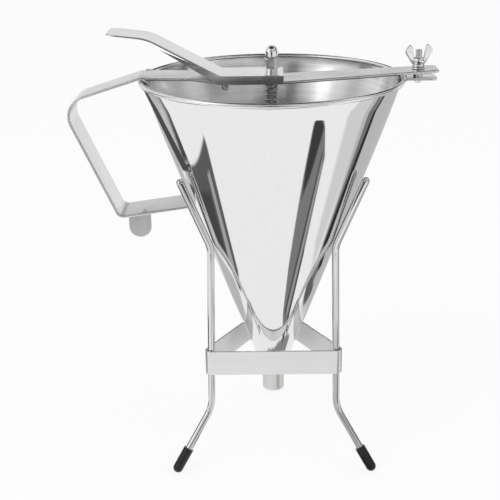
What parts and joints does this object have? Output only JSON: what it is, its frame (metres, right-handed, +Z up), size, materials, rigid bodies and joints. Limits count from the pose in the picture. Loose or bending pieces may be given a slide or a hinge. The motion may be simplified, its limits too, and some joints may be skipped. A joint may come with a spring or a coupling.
{
  "type": "piston funnel with stand",
  "caption": "Conical steel piston funnel with strap handle, thumb lever, sprung valve rod and wing nut clamp, in a three-legged wire stand with a triangular band and rubber foot caps",
  "frame": {"origin": "on the floor plane, under the middle of the object's box", "axes": "+Z up along the funnel's axis, X along the cross bar with the handle at -X and the clamp at +X, Y across, with one leg at +Y"},
  "size_m": [0.2632, 0.19, 0.3335],
  "materials": {
    "polished_steel": "mirror-polished stainless steel sheet, brushed round on the inside",
    "satin_steel": "satin stainless steel sheet",
    "bright_steel": "bright turned stainless steel",
    "turned_steel": "turned stainless steel",
    "spring_steel": "bright drawn stainless spring wire",
    "wire_steel": "polished stainless steel wire",
    "black_rubber": "smooth black rubber"
  },
  "bodies": {
    "stand": {"stand_band": "satin_steel", "stand_leg_left": "wire_steel", "stand_leg_right": "wire_steel", "stand_leg_rear": "wire_steel", "foot_cap_left": "black_rubber", "foot_cap_right": "black_rubber", "foot_cap_rear": "black_rubber"},
    "funnel": {"funnel_cone": "polished_steel", "outlet_bush": "turned_steel", "handle_strap": "satin_steel", "cross_bar": "satin_steel", "rest_tab": "satin_steel", "clamp_lug": "satin_steel", "clamp_stud": "bright_steel", "clamp_spacer": "bright_steel", "stop_screw": "bright_steel", "stop_nut": "bright_steel", "spring_washer": "bright_steel", "return_spring": "spring_steel"},
    "lever": {"lever": "satin_steel", "lever_pin": "bright_steel"},
    "piston": {"piston_rod": "bright_steel", "valve_plug": "turned_steel", "cap_nut": "bright_steel", "nut_collar": "bright_steel", "spring_collar": "turned_steel", "collar_pin": "bright_steel"},
    "washer": {"clamp_washer": "bright_steel"},
    "wing": {"wing_nut": "bright_steel"}
  },
  "joints": [
    {"name": "funnel_lift", "type": "slide", "parent": "stand", "child": "funnel", "axis": [0, 0, 1], "range_m": [0, 0.19]},
    {"name": "lever_press", "type": "hinge", "parent": "funnel", "child": "lever", "pos_m": [0.00484, 0, 0.29985], "axis": [0, -1, 0], "range_deg": [0, 6], "stiffness_Nm_per_rad": 0.84, "springref_deg": -8.39},
    {"name": "piston_lift", "type": "slide", "parent": "funnel", "child": "piston", "axis": [0, 0, 1], "range_m": [0, 0.00143], "deforming": ["return_spring"]},
    {"name": "washer_rise", "type": "slide", "parent": "funnel", "child": "washer", "axis": [0, 0, 1], "range_m": [0, 0.008]},
    {"name": "wing_turn", "type": "hinge", "parent": "washer", "child": "wing", "pos_m": [0.11794, 0, 0.30578], "axis": [0, 0, 1], "range_deg": [0, 3600]}
  ],
  "couplings": [
    {"joint": "piston_lift", "follows": "lever_press", "m_per_rad": 0.01365},
    {"joint": "washer_rise", "follows": "wing_turn", "m_per_rad": 0.00012732}
  ]
}
